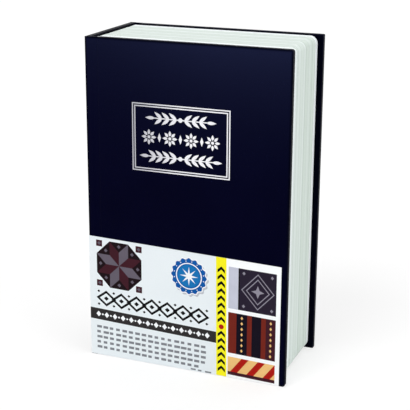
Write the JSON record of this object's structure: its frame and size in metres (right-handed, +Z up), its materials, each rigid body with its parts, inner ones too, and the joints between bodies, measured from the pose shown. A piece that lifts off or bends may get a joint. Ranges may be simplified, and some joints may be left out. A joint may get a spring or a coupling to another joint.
{
  "type": "book safe",
  "caption": "Lockable steel box hidden in a hardcover book: hinged covers, moulded page block, hinged steel door with a cam lock.",
  "frame": {"origin": "middle of the book's footprint, on the surface it stands on", "axes": "+Z up along the height of the book, +X from the spine to the fore-edge, +Y from the front cover to the back cover"},
  "size_m": [0.114, 0.057, 0.18],
  "materials": {
    "leatherette": "fine-grained leatherette, low sheen",
    "greyboard": "raw greyboard",
    "liner_paper": "matt paper",
    "label_paper": "printed label paper, low sheen",
    "page_plastic": "moulded, pale green-white, satin",
    "black_steel": "black powder coat",
    "zinc_steel": "zinc plated",
    "bright_chrome": "polished chrome plate"
  },
  "bodies": {
    "case": {"back_wrap": "leatherette", "back_board": "greyboard", "back_liner": "liner_paper", "page_block": "page_plastic", "box_shell": "black_steel", "stop_frame": "black_steel", "strike_plate": "zinc_steel", "box_screw_1": "zinc_steel", "box_screw_2": "zinc_steel", "box_screw_3": "zinc_steel", "box_screw_4": "zinc_steel", "hinge_leaf_fixed_lower": "black_steel", "hinge_leaf_fixed_upper": "black_steel", "hinge_pin_lower": "zinc_steel", "hinge_pin_upper": "zinc_steel"},
    "spine": {"spine_wrap": "leatherette", "spine_board": "greyboard", "spine_liner": "liner_paper"},
    "cover": {"front_wrap": "leatherette", "front_board": "greyboard", "front_liner": "liner_paper", "paper_label": "label_paper"},
    "door": {"door_panel": "black_steel", "hinge_leaf_door_lower": "black_steel", "hinge_leaf_door_upper": "black_steel", "lock_housing": "bright_chrome", "lock_washer": "zinc_steel", "lock_nut": "zinc_steel"},
    "lock": {"lock_plug": "bright_chrome", "lock_cam": "zinc_steel", "cam_washer": "zinc_steel", "cam_screw": "zinc_steel"}
  },
  "joints": [
    {"name": "spine_fold", "type": "hinge", "parent": "case", "child": "spine", "pos_m": [-0.057, 0.0285, 0.09], "axis": [0, 0, -1], "range_deg": [0, 90]},
    {"name": "cover_hinge", "type": "hinge", "parent": "spine", "child": "cover", "pos_m": [-0.057, -0.0282, 0.09], "axis": [0, 0, -1], "range_deg": [0, 180]},
    {"name": "door_hinge", "type": "hinge", "parent": "case", "child": "door", "pos_m": [-0.0421, -0.0184, 0.0902], "axis": [0, 0, -1], "range_deg": [0, 90]},
    {"name": "lock_turn", "type": "hinge", "parent": "door", "child": "lock", "pos_m": [0.02705, -0.015, 0.0902], "axis": [0, -1, 0], "range_deg": [0, 90]}
  ],
  "couplings": [
    {"joint": "door_hinge", "follows": "cover_hinge", "ratio": 0.5}
  ]
}
